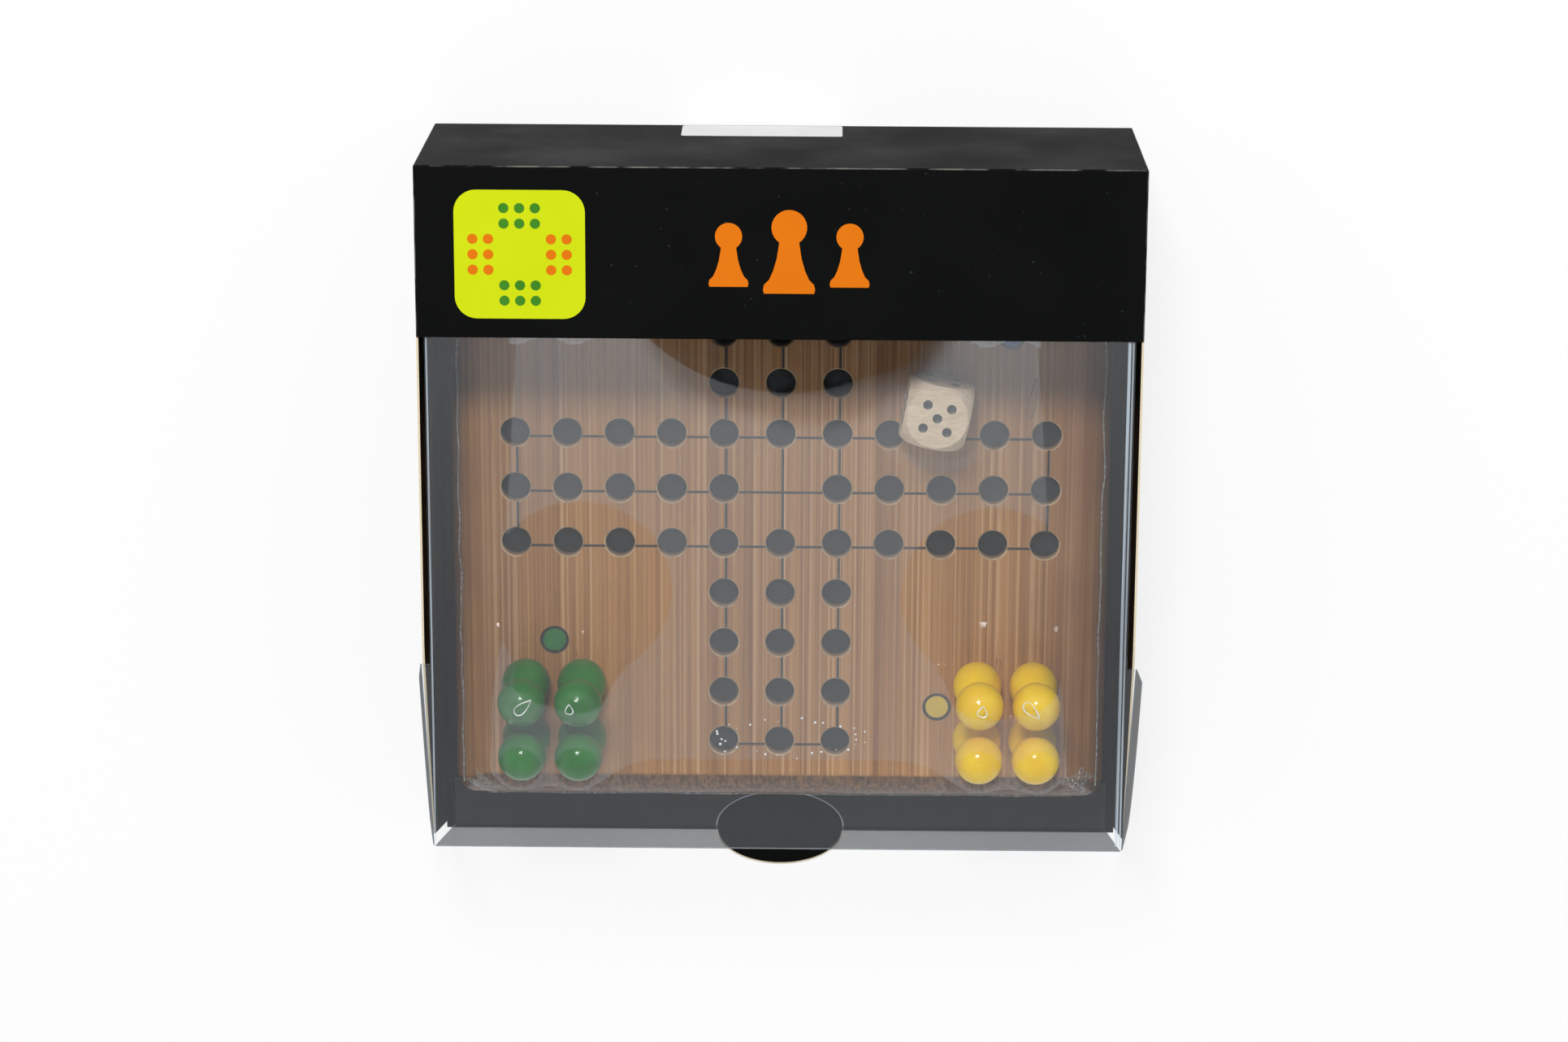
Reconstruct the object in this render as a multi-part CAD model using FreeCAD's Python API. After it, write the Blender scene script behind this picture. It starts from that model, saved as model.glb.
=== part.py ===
import FreeCAD, Part
import math
import os

Vector = FreeCAD.Vector

# A boxed ludo game, lying on its back with the window up. Millimetres.
# +X is the right of the front face, +Y points to the closed end, +Z out of the window.
# The origin is on the underside, below the centre of the front face.

# Carton of folded card, open at the end where Y is lowest
face_width = 163.0
face_length = 160.0
carton_depth = 53.0
card = 0.5
fold_radius = 0.45
band_length = 39.0
mouth_run = 14.2
tab_half_width = 15.3
tab_reach = 8.8
shoulder_run = 5.0
wall_relief = 0.4
wall_fall = 16.0
mouth_inset = 1.0

# Cover of clear sheet: a front panel with a lip each side, two ears and an end flap
sheet = 0.3
panel_clearance = 0.2
side_clearance = 1.2
panel_end_gap = 2.5
lip_depth = 12.0
lip_start_gap = 2.0
crease_gap = 0.2
ear_clearance = 0.25
ear_taper = 2.2
ear_length = 44.0
ear_free_length = 26.6
ear_depth = 46.0
ear_end_run = 6.5
ear_flare = 7.4
ear_corner = 3.0
ear_end_corner = 18.0
flap_side_gap = 2.2
fold_inset = 1.2
tuck_room = 1.2
tuck_clearance = 0.15
thumb_hole_half_width = 15.3
thumb_hole_reach = 8.8

# Rules leaflet, a sheet folded once, under the board
leaf = 0.15
leaf_gap = 0.1
leaflet_side_margin = 25.0
leaflet_end_margin = 8.5

# Bamboo board, with its room in the carton
side_room = 3.5
closed_room = 4.3
open_room = 0.2
roof_room = 2.4
board_corner = 4.5
board_round = 7.7
hole_diameter = 6.85
hole_depth = 4.0
hole_chamfer = 0.3
lane_pitch = 13.25
arm_steps = 4
track_margin = 15.45
line_width = 0.6
line_depth = 0.15
line_shift_x = 0.5
line_shift_y = -0.85
home_margin = 24.2
mark_offset = 16.0
mark_ring = 0.75
mark_depth = 0.1

# Pegs of turned and lacquered wood
peg_gap = 1.8
peg_foot_radius = 4.6
peg_base_radius = 5.7
peg_base_level = 4.0
peg_neck_radius = 3.3
peg_waist_radius = 3.0
peg_neck_level = 10.9
peg_neck_length = 3.98
peg_head_radius = 5.6
pin_length = 3.0
pin_clearance = 0.1
pin_chamfer = 0.5
peg_lift = 3.2
peg_colours = ("green", "yellow", "blue", "red")

# Die of pale wood
die_side = 15.0
die_ball_radius = 10.3
die_from_home_x = 17.3
die_from_home_y = 32.3
die_turn = -11.0
pip_diameter = 2.2
pip_depth = 0.35
pip_spacing = 2.78

# Shrink film over the board, the pegs and the die
film = 0.2
film_clearance = 0.3
film_skirt_gap = 1.0
film_shoulder_drop = 6.0
film_edge_room = 3.0
least_core = 0.1

# Places that follow from the sizes above: the carton and its cover
half_width = face_width / 2
inner_half = half_width - card
open_end = -face_length / 2
closed_end = face_length / 2
window_top = closed_end - band_length
back_end = open_end - mouth_run
band_underside = carton_depth - card
panel_top = band_underside - panel_clearance
panel_bottom = panel_top - sheet
panel_half = inner_half - side_clearance
panel_end = closed_end - card - panel_end_gap
ear_half = half_width + ear_clearance
ear_end_half = ear_half - ear_taper
ear_start = open_end + ear_length
ear_skew = math.atan2(ear_taper, ear_length)
flap_half = half_width - flap_side_gap
fold_y = back_end + fold_inset
tuck_bottom = card + tuck_clearance
tuck_top = tuck_bottom + sheet
flap_drop = panel_bottom - tuck_top
flap_lean = math.atan2(open_end - fold_y, flap_drop)

# The pegs, with their holes
hole_radius = hole_diameter / 2
home_pitch = 2 * peg_base_radius + peg_gap
peg_ball_drop = math.sqrt(peg_head_radius**2 - peg_neck_radius**2)
peg_head_level = peg_neck_level + peg_neck_length + peg_ball_drop
peg_height = peg_head_level + peg_head_radius

# The board, which fills the carton but for its named room
board_half_x = inner_half - side_room
board_end_low = open_end + open_room
board_end_high = closed_end - card - closed_room
board_half_y = (board_end_high - board_end_low) / 2
board_shift = (board_end_high + board_end_low) / 2
leaflet_height = 2 * leaf + leaf_gap
board_bottom = card + leaflet_height
film_roof = panel_bottom - roof_room - film
board_top = film_roof - film_clearance - peg_lift - peg_height
board_thickness = board_top - board_bottom
rim_round = min(board_round, (0.5 - least_core) * board_thickness)
home_x = board_half_x - home_margin
home_y = board_half_y - home_margin
die_x = home_x - die_from_home_x
die_y = home_y - die_from_home_y
tuck_end = board_end_low - film_clearance - film - tuck_room
lanes = (-lane_pitch, 0.0, lane_pitch)


def stations(half):
    """The places of the cross along one axis of the board, from one end to the other."""
    arm_pitch = (half - track_margin - lane_pitch) / arm_steps
    arm = [lane_pitch + arm_pitch * (i + 1) for i in range(arm_steps)]
    return [-a for a in reversed(arm)] + list(lanes) + arm


stations_x = stations(board_half_x)
stations_y = stations(board_half_y)

# Home corners, in the order of the peg colours, each with the way to its start mark
homes = (
    (-1, -1, 0, 1),
    (1, -1, -1, 0),
    (1, 1, 0, -1),
    (-1, 1, 1, 0),
)


def box(low, high):
    size = [b - a for a, b in zip(low, high)]
    return Part.makeBox(*size, Vector(*low))


def prism(points, run):
    """A closed outline, pushed along a vector."""
    outline = Part.makePolygon([Vector(*p) for p in points] + [Vector(*points[0])])
    return Part.Face(outline).extrude(Vector(*run))


def ellipse_prism(half_x, half_y, height):
    """An upright elliptical prism on the XY plane, centred on the origin."""
    centre = Vector(0, 0, 0)
    ring = Part.Ellipse(centre, max(half_x, half_y), min(half_x, half_y)).toShape()
    if half_y > half_x:
        ring.rotate(centre, Vector(0, 0, 1), 90)
    return Part.Face(Part.Wire(ring)).extrude(Vector(0, 0, height))


def one_solid(shape):
    """The single solid of a finished piece, with its split faces joined."""
    return shape.removeSplitter().Solids[0]


def write(name, shape):
    shape.exportStep(os.path.join("parts", name + ".step"))
    low = shape.BoundBox
    print(
        f"{name:16s} valid {shape.isValid()} solids {len(shape.Solids)} volume {shape.Volume:10.2f} "
        f"x {low.XMin:.2f} {low.XMax:.2f} y {low.YMin:.2f} {low.YMax:.2f} z {low.ZMin:.2f} {low.ZMax:.2f}"
    )


def flap_inner_y(level):
    """Where the inner face of the closed end flap is, at a height."""
    return open_end - (panel_bottom - level) * math.tan(flap_lean)


def make_carton():
    section = box((-half_width, back_end, 0), (half_width, closed_end, carton_depth))
    folds = [e for e in section.Edges if e.BoundBox.YLength > face_length]
    folds += [e for e in section.Edges if e.BoundBox.YMin > closed_end - card and e.BoundBox.YLength < card]
    tube = section.makeFillet(fold_radius, folds)
    hollow_end = closed_end - card
    tube = tube.cut(box((-inner_half, back_end - card, card), (inner_half, hollow_end, band_underside)))
    shoulder = panel_bottom - wall_relief
    mouth_level = shoulder - wall_fall
    above = carton_depth + card
    side = -half_width - card
    removed = [
        (side, window_top, above),
        (side, window_top, band_underside),
        (side, ear_start + shoulder_run, band_underside),
        (side, ear_start, shoulder),
        (side, flap_inner_y(mouth_level) + mouth_inset, mouth_level),
        (side, flap_inner_y(card) + mouth_inset, card),
        (side, back_end - card, card),
        (side, back_end - card, above),
    ]
    tube = tube.cut(prism(removed, (face_width + 2 * card, 0, 0)))
    tab = ellipse_prism(tab_half_width, tab_reach, card)
    tab.translate(Vector(0, back_end, 0))
    return one_solid(tube.fuse(tab))


def make_window_cover():
    outline = [
        (-ear_end_half, open_end, panel_bottom),
        (ear_end_half, open_end, panel_bottom),
        (ear_half, ear_start, panel_bottom),
        (panel_half, ear_start, panel_bottom),
        (panel_half, panel_end, panel_bottom),
        (-panel_half, panel_end, panel_bottom),
        (-panel_half, ear_start, panel_bottom),
        (-ear_half, ear_start, panel_bottom),
    ]
    cover = prism(outline, (0, 0, sheet))
    lip_start = ear_start + lip_start_gap
    for side in (-1, 1):
        edges = sorted((side * panel_half, side * (panel_half - sheet)))
        lip = box((edges[0], lip_start, panel_bottom - lip_depth), (edges[1], panel_end, panel_top))
        cover = cover.fuse(lip)
    return one_solid(cover)


def make_end_flap():
    """The sloping end, with the part that is tucked in on the floor."""
    along_y = -math.sin(flap_lean)
    along_z = -math.cos(flap_lean)
    out_y = -math.cos(flap_lean)
    out_z = math.sin(flap_lean)
    start_y = open_end + crease_gap * along_y
    start_z = panel_bottom + crease_gap * along_z
    outer_fold_y = flap_inner_y(tuck_bottom) - sheet / math.cos(flap_lean)
    profile = [
        (-flap_half, start_y, start_z),
        (-flap_half, fold_y, tuck_top),
        (-flap_half, tuck_end, tuck_top),
        (-flap_half, tuck_end, tuck_bottom),
        (-flap_half, outer_fold_y, tuck_bottom),
        (-flap_half, start_y + sheet * out_y, start_z + sheet * out_z),
    ]
    flap = prism(profile, (2 * flap_half, 0, 0))
    floor_hole = ellipse_prism(thumb_hole_half_width, thumb_hole_reach, tuck_top)
    floor_hole.translate(Vector(0, fold_y, 0))
    wall_hole = ellipse_prism(thumb_hole_half_width, thumb_hole_reach, 3 * sheet)
    wall_hole.translate(Vector(0, 0, -sheet))
    wall_hole.rotate(Vector(0, 0, 0), Vector(1, 0, 0), 90 - math.degrees(flap_lean))
    wall_hole.translate(Vector(0, fold_y, tuck_top))
    return one_solid(flap.cut([floor_hole, wall_hole]))


def make_ear(side):
    """One side ear: cut flat, then folded down along its crease with a little flare."""
    crease_end = -math.hypot(ear_length, ear_taper)
    outline = [
        (crease_gap, crease_end, 0),
        (ear_depth, crease_end - ear_end_run, 0),
        (ear_depth, crease_end + ear_free_length, 0),
        (crease_gap, 0, 0),
    ]
    ear = prism(outline, (0, 0, sheet))
    middle = crease_end + ear_free_length / 2
    free = [e for e in ear.Edges if e.BoundBox.ZLength > sheet / 2 and e.BoundBox.XMin > ear_depth - sheet]
    ear = ear.makeFillet(ear_corner, [e for e in free if e.BoundBox.YMin > middle])
    free = [e for e in ear.Edges if e.BoundBox.ZLength > sheet / 2 and e.BoundBox.YMax < middle]
    ear = ear.makeFillet(ear_end_corner, [max(free, key=lambda e: e.BoundBox.XMin)])
    ear.rotate(Vector(0, 0, 0), Vector(0, 1, 0), 90 - ear_flare)
    ear.rotate(Vector(0, 0, 0), Vector(0, 0, 1), -math.degrees(ear_skew))
    ear.translate(Vector(ear_half, ear_start, panel_bottom))
    if side < 0:
        ear = ear.mirror(Vector(0, 0, 0), Vector(1, 0, 0))
    return ear.Solids[0]


def make_leaflet():
    """A sheet folded once, its two leaves joined along the left side."""
    half_x = board_half_x - leaflet_side_margin
    half_y = board_half_y - leaflet_end_margin
    whole = box((-half_x, board_shift - half_y, card), (half_x, board_shift + half_y, board_bottom))
    slot_low = card + leaf
    slot = box(
        (-half_x + leaf, board_shift - half_y - leaf, slot_low),
        (half_x + leaf, board_shift + half_y + leaf, slot_low + leaf_gap),
    )
    return one_solid(whole.cut(slot))


def track_places():
    """The cross of peg holes, on the board's own centre, without the middle."""
    places = {(x, y) for x in stations_x for y in lanes} | {(x, y) for x in lanes for y in stations_y}
    places.discard((0.0, 0.0))
    return sorted(places)


def home_places(home):
    """The four peg places of one home corner."""
    half = home_pitch / 2
    x = home[0] * home_x
    y = home[1] * home_y
    return [(x - half, y + half), (x + half, y + half), (x - half, y - half), (x + half, y - half)]


def hole_cut(x, y):
    """A blind peg hole, with its mouth eased."""
    hole = Part.makeCylinder(hole_radius, 2 * hole_depth, Vector(x, y, board_top - hole_depth))
    mouth_bottom = Vector(x, y, board_top - hole_chamfer)
    mouth = Part.makeCone(hole_radius, hole_radius + 2 * hole_chamfer, 2 * hole_chamfer, mouth_bottom)
    return hole.fuse(mouth)


def line_cut(x0, y0, x1, y1):
    half = line_width / 2
    low = board_top - line_depth
    return box(
        (x0 + line_shift_x - half, y0 + board_shift + line_shift_y - half, low),
        (x1 + line_shift_x + half, y1 + board_shift + line_shift_y + half, board_top + line_depth),
    )


def mark_cut(home):
    """The start mark of one home: a shallow disc inside a deeper ring."""
    x = home[0] * home_x + home[2] * mark_offset
    y = home[1] * home_y + home[3] * mark_offset + board_shift
    floor = Vector(x, y, board_top - line_depth)
    spot = Part.makeCylinder(hole_radius, 2 * line_depth, floor)
    return spot.cut(Part.makeCylinder(hole_radius - mark_ring, line_depth - mark_depth, floor))


def make_board():
    board = box((-board_half_x, board_end_low, board_bottom), (board_half_x, board_end_high, board_top))
    uprights = [e for e in board.Edges if e.BoundBox.ZLength > board_thickness / 2]
    board = board.makeFillet(board_corner, uprights)
    rims = [e for e in board.Edges if e.BoundBox.ZLength < board_thickness / 2]
    board = board.makeFillet(rim_round, rims)
    cuts = []
    places = track_places()
    for home in homes:
        places = places + home_places(home)
    for x, y in places:
        cuts.append(hole_cut(x, y + board_shift))
    left, right = stations_x[0], stations_x[-1]
    low, high = stations_y[0], stations_y[-1]
    for lane in lanes:
        cuts.append(line_cut(left, lane, right, lane))
        cuts.append(line_cut(lane, low, lane, high))
    for tip in (left, right):
        cuts.append(line_cut(tip, -lane_pitch, tip, lane_pitch))
    for tip in (low, high):
        cuts.append(line_cut(-lane_pitch, tip, lane_pitch, tip))
    for home in homes:
        cuts.append(mark_cut(home))
    return one_solid(board.cut(cuts))


def make_peg(x, y):
    """A skittle: a pin, a rounded base, a waist and a ball head."""
    pin_radius = hole_radius - pin_clearance
    head_start = peg_neck_level + peg_neck_length
    waist_level = peg_neck_level + peg_neck_length / 2

    def at(radius, level):
        return Vector(radius, 0, level)

    corners = [
        at(0, peg_height),
        at(0, -pin_length),
        at(pin_radius - pin_chamfer, -pin_length),
        at(pin_radius, -pin_length + pin_chamfer),
        at(pin_radius, 0),
        at(peg_foot_radius, 0),
    ]
    edges = [Part.makeLine(a, b) for a, b in zip(corners, corners[1:])]
    base_end = at(peg_neck_radius, peg_neck_level)
    neck_end = at(peg_neck_radius, head_start)
    edges.append(Part.Arc(corners[-1], at(peg_base_radius, peg_base_level), base_end).toShape())
    edges.append(Part.Arc(base_end, at(peg_waist_radius, waist_level), neck_end).toShape())
    edges.append(Part.Arc(neck_end, at(peg_head_radius, peg_head_level), corners[0]).toShape())
    peg = Part.Face(Part.Wire(edges)).revolve(Vector(0, 0, 0), Vector(0, 0, 1), 360)
    peg.translate(Vector(x, y + board_shift, board_top))
    return peg.Solids[0]


# The pips of each face, as rows of places in steps of the pip spacing
pip_patterns = {
    1: [(0, 0)],
    2: [(-1, -1), (1, 1)],
    3: [(-1, -1), (0, 0), (1, 1)],
    4: [(-1, -1), (1, 1), (-1, 1), (1, -1)],
    5: [(-1, -1), (1, 1), (-1, 1), (1, -1), (0, 0)],
    6: [(-1, -1), (-1, 0), (-1, 1), (1, -1), (1, 0), (1, 1)],
}

# Which number each face shows, with the turn that brings it up to that side
die_faces = (
    (5, (1, 0, 0), 0),
    (2, (1, 0, 0), 180),
    (3, (1, 0, 0), 90),
    (4, (1, 0, 0), -90),
    (1, (0, 1, 0), 90),
    (6, (0, 1, 0), -90),
)


def make_die():
    """A cube rounded by a ball, with a dimple for each pip."""
    half = die_side / 2
    centre = Vector(0, 0, 0)
    die = box((-half, -half, -half), (half, half, half)).common(Part.makeSphere(die_ball_radius))
    dimple_radius = (pip_diameter**2 / 4 + pip_depth**2) / (2 * pip_depth)
    dimples = []
    for number, axis, turn in die_faces:
        for column, row in pip_patterns[number]:
            place = Vector(column * pip_spacing, row * pip_spacing, half - pip_depth + dimple_radius)
            dimple = Part.makeSphere(dimple_radius, place)
            dimple.rotate(centre, Vector(*axis), turn)
            dimples.append(dimple)
    die = one_solid(die.cut(dimples))
    die.rotate(centre, Vector(0, 0, 1), die_turn)
    die.translate(Vector(die_x, die_y + board_shift, board_top + half))
    return die


def film_block(inset):
    """The space under the film, drawn in by an inset on its sides and its roof."""
    around = film_clearance + film - inset
    shoulder = board_top - film_shoulder_drop
    reach = home_pitch / 2 + peg_head_radius + film_edge_room - inset
    levels = (
        (board_half_x + around, board_half_y + around, board_bottom + film_skirt_gap - inset),
        (board_half_x + around, board_half_y + around, shoulder),
        (home_x + reach, home_y + reach, film_roof + film - inset),
    )
    outlines = []
    for half_x, half_y, level in levels:
        signs = ((-1, -1), (1, -1), (1, 1), (-1, 1), (-1, -1))
        corners = [Vector(i * half_x, board_shift + j * half_y, level) for i, j in signs]
        outlines.append(Part.makePolygon(corners))
    return Part.makeLoft(outlines, True, True)


def make_film():
    return one_solid(film_block(0).cut(film_block(film)))


def main():
    os.makedirs("parts", exist_ok=True)
    write("carton", make_carton())
    write("window_cover", make_window_cover())
    write("end_flap", make_end_flap())
    write("ear_left", make_ear(-1))
    write("ear_right", make_ear(1))
    write("rules_leaflet", make_leaflet())
    write("board", make_board())
    for colour, home in zip(peg_colours, homes):
        for number, (x, y) in enumerate(home_places(home)):
            write(f"{colour}_peg_{number + 1}", make_peg(x, y))
    write("die", make_die())
    write("shrink_film", make_film())
    print(f"flap hinge y {open_end} z {panel_bottom:.2f} lean {math.degrees(flap_lean):.2f}")
    print(f"ear hinges x {ear_half:.2f} y {ear_start:.2f} skew {math.degrees(ear_skew):.3f}")
    print(f"board thickness {board_thickness:.2f} top {board_top:.2f} centre y {board_shift:.2f}")


main()
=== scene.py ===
import math

import bpy
import numpy as np
from mathutils import Euler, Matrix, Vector


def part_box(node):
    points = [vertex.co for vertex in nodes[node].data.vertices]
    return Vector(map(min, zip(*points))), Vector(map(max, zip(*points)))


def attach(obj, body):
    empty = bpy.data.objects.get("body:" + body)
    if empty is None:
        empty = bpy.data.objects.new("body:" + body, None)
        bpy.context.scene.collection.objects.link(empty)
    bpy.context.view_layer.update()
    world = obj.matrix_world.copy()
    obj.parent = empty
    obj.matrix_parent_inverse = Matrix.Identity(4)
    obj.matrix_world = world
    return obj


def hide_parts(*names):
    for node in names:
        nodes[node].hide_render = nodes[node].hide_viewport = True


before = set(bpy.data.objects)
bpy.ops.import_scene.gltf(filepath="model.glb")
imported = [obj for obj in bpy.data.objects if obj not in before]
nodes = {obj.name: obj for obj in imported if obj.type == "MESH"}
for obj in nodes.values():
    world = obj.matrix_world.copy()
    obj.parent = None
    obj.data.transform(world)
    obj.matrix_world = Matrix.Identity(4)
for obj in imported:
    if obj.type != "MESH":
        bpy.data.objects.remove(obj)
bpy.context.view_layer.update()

# A boxed ludo game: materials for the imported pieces, the film, the print, and the stage round them

mm = 0.001
chance = np.random.RandomState(7)

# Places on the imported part, in metres
carton_low, carton_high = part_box("carton")
board_low, board_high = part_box("board")
board_top = board_high[2]
board_mid_y = (board_low[1] + board_high[1]) / 2
card = 0.5 * mm
window_edge = carton_high[1] - 39 * mm
inner_half = carton_high[0] - card
board_round = 7.7 * mm
strip_width = 5.6 * mm
hole_depth = 4 * mm
line_depth = 0.32 * mm
mark_depth = 0.10 * mm
cover_side_low = 52 * mm
flap_lean = math.radians(14.29)
thumb_half = 15.3 * mm
thumb_reach = 8.8 * mm
peg_lift = 3.2 * mm
head_radius = 5.6 * mm
head_columns = (-59.9 * mm, -46.7 * mm, 46.7 * mm, 59.9 * mm)
upper_heads_y = -49 * mm
lower_heads_y = -62.2 * mm


# Shader graphs

class Graph:
    """A material's node tree, with short ways to add to it."""

    def __init__(self, name):
        self.material = bpy.data.materials.new(name)
        self.material.use_nodes = True
        self.tree = self.material.node_tree
        self.tree.nodes.clear()
        self.out = self.tree.nodes.new("ShaderNodeOutputMaterial")

    def put(self, socket, value):
        """Links a socket to another one, or sets its value."""
        if isinstance(value, bpy.types.NodeSocket):
            self.tree.links.new(value, socket)
        elif hasattr(value, "__len__") and len(value) == 3 and socket.type == "RGBA":
            socket.default_value = (*value, 1)
        else:
            socket.default_value = value

    def add(self, kind, sockets=(), **settings):
        """A new node, with what its sockets get and how it is set."""
        node = self.tree.nodes.new("ShaderNode" + kind)
        for key, value in settings.items():
            setattr(node, key, value)
        for key, value in dict(sockets).items():
            self.put(node.inputs[key], value)
        return node

    def spot(self):
        """Coordinates on the piece, in metres."""
        return self.add("TexCoord").outputs["Object"]

    def axes(self, vector=None):
        """The three parts of a vector, or else of the coordinates on the piece."""
        if vector is None:
            vector = self.spot()
        return self.add("SeparateXYZ", {0: vector}).outputs

    def noise(self, scale, detail=2.0, rough=0.5):
        """Cloudy noise; its scale is in steps per metre along X, Y and Z."""
        spot = self.add("Mapping", {"Vector": self.spot(), "Scale": scale}).outputs[0]
        sockets = {"Vector": spot, "Scale": 1.0, "Detail": detail, "Roughness": rough}
        return self.add("TexNoise", sockets).outputs["Fac"]

    def math(self, kind, a, b=0.0):
        node = self.add("Math", operation=kind)
        self.put(node.inputs[0], a)
        self.put(node.inputs[1], b)
        return node.outputs[0]

    def plus(self, a, b):
        return self.math("ADD", a, b)

    def times(self, a, b):
        return self.math("MULTIPLY", a, b)

    def span(self, value, low, high, to_low=0.0, to_high=1.0):
        """A value moved from one range to another, held at its ends."""
        sockets = {"Value": value, "From Min": low, "From Max": high, "To Min": to_low, "To Max": to_high}
        return self.add("MapRange", sockets).outputs[0]

    def mix(self, fac, a, b):
        """A colour between two colours."""
        node = self.add("Mix", data_type="RGBA")
        self.put(node.inputs[0], fac)
        self.put(node.inputs[6], a)
        self.put(node.inputs[7], b)
        return node.outputs[2]

    def bump(self, height, distance, strength=1.0):
        return self.add("Bump", {"Height": height, "Distance": distance, "Strength": strength}).outputs[0]

    def grazing(self, power, normal=None):
        """0 where a surface is seen square on, 1 at its grazing edge, from either side."""
        node = self.add("LayerWeight", {"Blend": 0.5})
        if normal:
            self.put(node.inputs["Normal"], normal)
        return self.math("POWER", node.outputs["Facing"], power)

    def surface(self, shader):
        """Ends the graph with its shader, and gives the material."""
        self.tree.links.new(shader, self.out.inputs["Surface"])
        return self.material

    def principled(self, colour, rough, **sockets):
        """An opaque surface; an underscore in a socket's name stands for a space."""
        names = {key.replace("_", " "): value for key, value in sockets.items()}
        return self.add("BsdfPrincipled", {"Base Color": colour, "Roughness": rough, **names}).outputs[0]

    def blend(self, fac, a, b):
        """A shader between two shaders."""
        node = self.add("MixShader")
        self.put(node.inputs[0], fac)
        self.put(node.inputs[1], a)
        self.put(node.inputs[2], b)
        return node.outputs[0]


def black_card():
    """Printed card with a satin varnish and a few pale flecks; its rounded folds are painted lighter, partly
    as rubbed card and partly as a painted highlight.
    """
    g = Graph("black_card")
    cloud = g.noise((40, 40, 40), 4)
    fleck = g.span(g.noise((700, 700, 700), 2), 0.73, 0.77)
    normal = g.add("NewGeometry").outputs["Normal"]
    sides = g.add("VectorMath", {0: normal}, operation="ABSOLUTE").outputs[0]
    sides = g.axes(sides)
    square = g.math("MAXIMUM", g.math("MAXIMUM", sides[0], sides[1]), sides[2])
    above_floor = g.span(g.axes()[2], 3 * mm, 4 * mm)
    # Rounded folds painted lighter: partly rubbed card, partly a painted highlight where the fold would catch
    # the light.
    worn_fold_highlight = g.times(g.span(square, 0.98, 0.86), g.span(g.noise((160, 160, 160), 4), 0.42, 0.66))
    worn_fold_highlight = g.times(worn_fold_highlight, above_floor)
    fleck = g.times(fleck, above_floor)
    colour = g.mix(cloud, (0.0036, 0.0038, 0.0038), (0.0058, 0.0060, 0.0060))
    colour = g.mix(g.times(fleck, 0.12), colour, (0.20, 0.21, 0.22))
    colour = g.mix(g.times(worn_fold_highlight, 0.35), colour, (0.45, 0.42, 0.37))
    rough = g.span(cloud, 0.3, 0.7, 0.42, 0.58)
    return g.surface(g.principled(colour, rough, Specular_IOR_Level=0.02))


def cut_edge():
    """The cream core of the card, where it is cut."""
    g = Graph("card_cut_edge")
    fibre = g.noise((1500, 1500, 6000), 3)
    colour = g.mix(fibre, (0.52, 0.43, 0.29), (0.83, 0.72, 0.53))
    return g.surface(g.principled(colour, 0.8, Normal=g.bump(fibre, 0.03 * mm)))


def clear_sheet(name, square_on, edge_on):
    """Thin clear sheet: it lets light through, greyer at grazing angles, where its mirror sheen grows.
    square_on is the share of light that each of its two faces mirrors when it is seen straight,
    and edge_on the share that each lets through when it is seen along its surface."""
    g = Graph(name)
    normal = g.bump(g.noise((14, 9, 14), 2), 0.4 * mm)
    scuff = g.span(g.noise((900, 120, 900), 3), 0.55, 0.80)
    slant = g.grazing(3.0)
    share = g.plus(square_on, g.times(g.grazing(5.0), 0.72))
    shine = g.mix(slant, (1, 1, 1), (0.42 * edge_on, 0.43 * edge_on, 0.44 * edge_on))
    sheen = g.add("BsdfGlossy", {"Color": shine, "Roughness": 0.03, "Normal": normal}).outputs[0]
    tint = g.mix(slant, (0.996, 0.998, 1.0), (edge_on, 1.01 * edge_on, 1.02 * edge_on))
    through = g.add("BsdfTransparent", {"Color": tint}).outputs[0]
    dust = g.add("BsdfDiffuse", {"Color": (0.62, 0.70, 0.78), "Roughness": 0.4}).outputs[0]
    body = g.blend(g.plus(0.002, g.times(scuff, 0.010)), through, dust)
    return g.surface(g.blend(share, body, sheen))


def sheet_edge(name, dark, light):
    """The cut edge of the clear sheet."""
    g = Graph(name)
    vary = g.noise((300, 300, 300), 2)
    body = g.principled(g.mix(vary, dark, light), 0.3, Specular_IOR_Level=0.5)
    through = g.add("BsdfTransparent", {"Color": (0.8, 0.85, 0.88)}).outputs[0]
    return g.surface(g.blend(0.6, through, body))


def sheet_fold_highlight():
    """A painted highlight along a fold of the clear sheet: milky streaks standing for the light the fold
    reflects.
    """
    g = Graph("sheet_fold_highlight")
    streak = g.noise((2600, 18, 300), 3)
    milk = g.add("BsdfDiffuse", {"Color": (0.66, 0.74, 0.80), "Roughness": 0.4}).outputs[0]
    through = g.add("BsdfTransparent", {"Color": (0.97, 0.98, 1.0)}).outputs[0]
    return g.surface(g.blend(g.span(streak, 0.30, 0.70, 0.14, 0.48), through, milk))


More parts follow.
